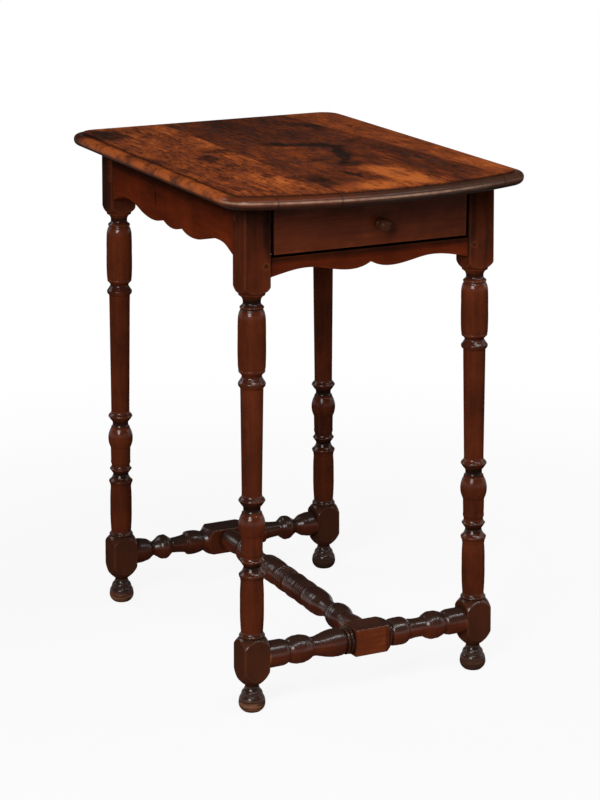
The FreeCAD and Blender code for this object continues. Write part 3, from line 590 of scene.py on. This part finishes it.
# The shades of the left apron, the rail and the drawer front are painted shadow under the top, its
# lip and the drawer
FRAME_LOOKS = {
    "apron_left": dict(
        axis="Y", seed=11, level=0.555, gloss=0.01, wear_and_highlight=0.08, ramp=RED_RAMP,
        shades=[(0.620, 0.672, 0.10), (0.646, 0.664, 0.26)],
        marks=[("YZ", (0.062, 0.636), (0.0030, 0.016), 0.30)]),
    "apron_right": dict(axis="Y", seed=12, level=0.58, gloss=0.04, wear_and_highlight=0.10, ramp=RED_RAMP),
    "apron_back": dict(axis="X", seed=13, level=0.57, gloss=0.04, wear_and_highlight=0.10, ramp=RED_RAMP),
    "rail_front": dict(
        axis="X", seed=14, level=0.60, gloss=0.03, wear_and_highlight=0.10, ramp=RED_RAMP,
        shades=[(0.5950, 0.6045, 0.36)]),
    "drawer_front": dict(
        axis="X", seed=15, level=0.69, gloss=0.75, flat_shine=0.10, wear_and_highlight=0.10,
        shades=[(0.622, 0.672, 0.17)], marks=[("XZ", (0.100, 0.635), (0.100, 0.060), 0.06)]),
    "drawer_knob": dict(axis="Y", seed=16, level=0.38, gloss=0.22, wear_and_highlight=0.10, ramp=KNOB_RAMP),
    "stretcher_front": dict(
        axis="X", seed=17, level=0.50, grey=0.80, gloss=0.68, wear_and_highlight=0.55, worn_block=True,
        polish=0.23,
        marks=[
            ("XZ", (-0.0280, 0.073), (0.0085, 0.035), 0.28),
            ("XZ", (0.0310, 0.073), (0.0055, 0.035), 0.28),
        ]),
    "stretcher_back": dict(axis="X", seed=18, level=0.43, grey=0.85, gloss=0.55, polish=0.23),
    "stretcher_center": dict(
        axis="Y", seed=19, level=0.52, grey=0.75, gloss=0.68, polish=0.23,
        marks=[
            ("YZ", (-0.0366, 0.076), (0.0135, 0.060), 0.05),
            ("YZ", (0.0262, 0.076), (0.0165, 0.060), 0.05),
            ("YZ", (-0.1395, 0.076), (0.0220, 0.060), 0.18),
        ]),
    "apron_pegs": dict(axis="Z", seed=21, level=0.42, gloss=0.05, wear_and_highlight=0.10),
    "rail_pegs": dict(axis="Z", seed=22, level=0.42, gloss=0.05, wear_and_highlight=0.10),
    "stretcher_pegs": dict(axis="Z", seed=23, level=0.42, gloss=0.05, wear_and_highlight=0.10),
}
for name, looks in FRAME_LOOKS.items():
    dress(name, frame_wood(name, **looks))

# Joint lines between the boards, front end first, then the spots and stains of each board: centre,
# radii, turn in degrees, and how much lighter or darker they are. A line has its points and width.
EDGE_JOINT = [(-0.1570, -0.3025), (-0.1570, 0.3025)]
STRIP_JOINT = [(-0.0780, -0.3025), (-0.0700, 0.3025)]
RIGHT_JOINT = [(0.1680, -0.3025), (0.1180, 0.3025)]
TOP_LOOKS = {
    "top_edge_board": dict(
        seed=31, level=0.62, joints=[EDGE_JOINT], specks=0.34, contrast=1.25,
        spots=[
            ((-0.185, 0.230), (0.050, 0.055), 0.0, -0.40),
            ((-0.165, -0.135), (0.012, 0.022), 0.0, -0.30),
            ((-0.180, -0.208), (0.014, 0.022), 20.0, -0.40),
        ]),
    "top_strip_board": dict(
        seed=32, level=0.64, joints=[EDGE_JOINT, STRIP_JOINT], specks=0.36, contrast=1.25,
        spots=[
            ((-0.125, 0.003), (0.019, 0.034), -12.0, -0.46),
            ((-0.125, 0.195), (0.016, 0.030), 0.0, -0.22),
            ((-0.090, 0.046), (0.032, 0.018), 0.0, -0.26),
            ((-0.118, -0.060), (0.012, 0.020), 0.0, -0.28),
            ((-0.108, -0.145), (0.011, 0.016), 0.0, -0.30),
            ((-0.088, -0.175), (0.014, 0.022), 0.0, -0.34),
            ((-0.085, 0.170), (0.020, 0.150), 0.0, 0.12),
            ((-0.130, -0.180), (0.050, 0.100), 0.0, 0.12),
        ]),
    "top_middle_board": dict(
        seed=33, level=0.42, joints=[STRIP_JOINT, RIGHT_JOINT], specks=0.20, contrast=1.1,
        spots=[
            ((0.030, 0.205), (0.130, 0.140), 0.0, -0.11),
            ((0.110, 0.192), (0.024, 0.028), 0.0, -0.16),
            ((0.115, 0.052), (0.030, 0.016), 25.0, -0.16),
            ((0.130, -0.120), (0.045, 0.170), 0.0, -0.06),
            ((-0.025, -0.020), (0.060, 0.100), 0.0, 0.10),
            ((0.030, -0.028), (0.022, 0.032), 0.0, 0.16),
            ((0.048, -0.200), (0.036, 0.095), 8.0, 0.48),
            ((0.020, -0.262), (0.100, 0.048), 0.0, 0.32),
            ((-0.035, -0.262), (0.050, 0.045), 0.0, 0.16),
            ((-0.066, -0.186), (0.026, 0.036), 0.0, -0.22),
            ((-0.005, -0.182), (0.011, 0.030), 12.0, -0.42),
            ((-0.006, -0.076), (0.024, 0.012), 0.0, -0.24),
            ((0.025, -0.116), (0.021, 0.020), 0.0, -0.30),
        ],
        lines=[
            ([(-0.002, 0.060), (0.022, 0.046), (0.050, 0.034), (0.064, 0.020), (0.062, -0.012),
              (0.050, -0.050), (0.034, -0.085), (0.024, -0.106)], 0.0100, -0.28),
            ([(-0.004, 0.064), (0.022, 0.050), (0.052, 0.036), (0.064, 0.018)], 0.0210, -0.20),
        ]),
    "top_right_board": dict(
        seed=34, level=0.64, joints=[RIGHT_JOINT], specks=0.14,
        spots=[
            ((0.164, 0.155), (0.006, 0.014), -20.0, -0.30),
            ((0.185, -0.195), (0.030, 0.085), 0.0, 0.14),
        ]),
}
for name, looks in TOP_LOOKS.items():
    dress(name, top_wood(name, **looks))

INNER_FIRST_SEED = 41
INNER_AXES = {
    "drawer_side_left": "Y",
    "drawer_side_right": "Y",
    "drawer_back": "X",
    "drawer_bottom": "X",
    "drawer_bearer_left": "Y",
    "drawer_bearer_right": "Y",
    "drawer_stops": "X",
    "glue_blocks": "Y",
}
for seed, (name, axis) in enumerate(INNER_AXES.items(), INNER_FIRST_SEED):
    dress(name, inner_wood(name, axis, seed))

# The stage is a round floor with a low wall far behind it. Near the table less of its light is its
# own, so that soft shadows stay there.
STAGE_SIDES = 48
STAGE_RADIUS = 15.0
WALL_HEIGHT = 3.2
SHADOW_REACH = (0.45, 1.6)
NEAR_GLOW = 0.90


def studio_paper(name):
    """Pale surface that looks white to the camera, and is an ordinary one to the light."""
    wood = Wood(name)
    path = wood.add("ShaderNodeLightPath").outputs
    seen = wood.math("MAXIMUM", path["Is Camera Ray"], path["Is Glossy Ray"])
    seen = wood.math("MAXIMUM", seen, path["Is Transmission Ray"])
    share = wood.smooth(wood.length(wood.point), *SHADOW_REACH, to_low=NEAR_GLOW)
    share = wood.times(seen, share)
    diffuse = wood.add("ShaderNodeBsdfDiffuse", {"Color": PAPER}).outputs[0]
    glow = wood.add("ShaderNodeEmission", {"Color": WHITE, "Strength": 1.0}).outputs[0]
    blend = wood.add("ShaderNodeMixShader", {0: share, 1: diffuse, 2: glow})
    wood.add("ShaderNodeOutputMaterial", {"Surface": blend.outputs[0]})
    return wood.material


def stage_mesh(name, points, faces, material):
    mesh = bpy.data.meshes.new(name)
    mesh.from_pydata(points, [], faces)
    mesh.materials.append(material)
    obj = bpy.data.objects.new(name, mesh)
    bpy.context.scene.collection.objects.link(obj)


turns = [2.0 * math.pi * index / STAGE_SIDES for index in range(STAGE_SIDES)]
circle = [(STAGE_RADIUS * math.cos(turn), STAGE_RADIUS * math.sin(turn)) for turn in turns]
low_ring = [(*spot, 0.0) for spot in circle]
high_ring = [(*spot, WALL_HEIGHT) for spot in circle]
wall_faces = []
for index in range(STAGE_SIDES):
    following = (index + 1) % STAGE_SIDES
    wall_faces.append((index, following, following + STAGE_SIDES, index + STAGE_SIDES))
paper = studio_paper("studio_paper")
stage_mesh("studio_floor", low_ring, [tuple(range(STAGE_SIDES))], paper)
stage_mesh("studio_wall", low_ring + high_ring, wall_faces, paper)


def turned_to(direction):
    """The rotation of a lamp or camera that looks in a direction."""
    return Vector(direction).to_track_quat("-Z", "Y").to_euler()


def area_light(name, place, target, size, power):
    light = bpy.data.lights.new(name, "AREA")
    light.shape = "RECTANGLE"
    light.size, light.size_y = size
    light.energy = power
    obj = bpy.data.objects.new(name, light)
    obj.location = place
    obj.rotation_euler = turned_to(Vector(target) - Vector(place))
    bpy.context.scene.collection.objects.link(obj)


area_light(
    "key", place=(-2.4, -2.4, 2.1), target=(0.0, 0.0, 0.40), size=(1.3, 1.3), power=118.0)
area_light(
    "overhead", place=(0.40, -1.45, 2.40), target=(0.0, -0.10, 0.50), size=(2.8, 0.24), power=42.0)
area_light(
    "fill_right", place=(2.6, -0.6, 1.6), target=(0.0, 0.0, 0.35), size=(1.6, 1.6), power=15.0)
area_light(
    "fill_back", place=(-2.0, 2.4, 2.3), target=(0.0, 0.0, 0.35), size=(1.6, 1.6), power=36.0)

WORLD_STRENGTH = 0.03
world = bpy.data.worlds.new("studio")
world.use_nodes = True
background = world.node_tree.nodes["Background"]
background.inputs["Color"].default_value = (*WHITE, 1.0)
background.inputs["Strength"].default_value = WORLD_STRENGTH
scene = bpy.context.scene
scene.world = world
scene.view_settings.view_transform = "Standard"

# The camera as solved from the photograph
CAMERA_PLACE = (-1.4016, -2.8843, 1.2547)
CAMERA_DIRECTION = (0.4226, 0.8645, -0.2720)
CAMERA_LENS = 108.17
CAMERA_SENSOR = 36.0
camera_data = bpy.data.cameras.new("camera")
camera_data.lens = CAMERA_LENS
camera_data.sensor_width = CAMERA_SENSOR
camera_data.clip_end = 100.0
camera = bpy.data.objects.new("camera", camera_data)
camera.location = CAMERA_PLACE
camera.rotation_euler = turned_to(CAMERA_DIRECTION)
scene.collection.objects.link(camera)
scene.camera = camera
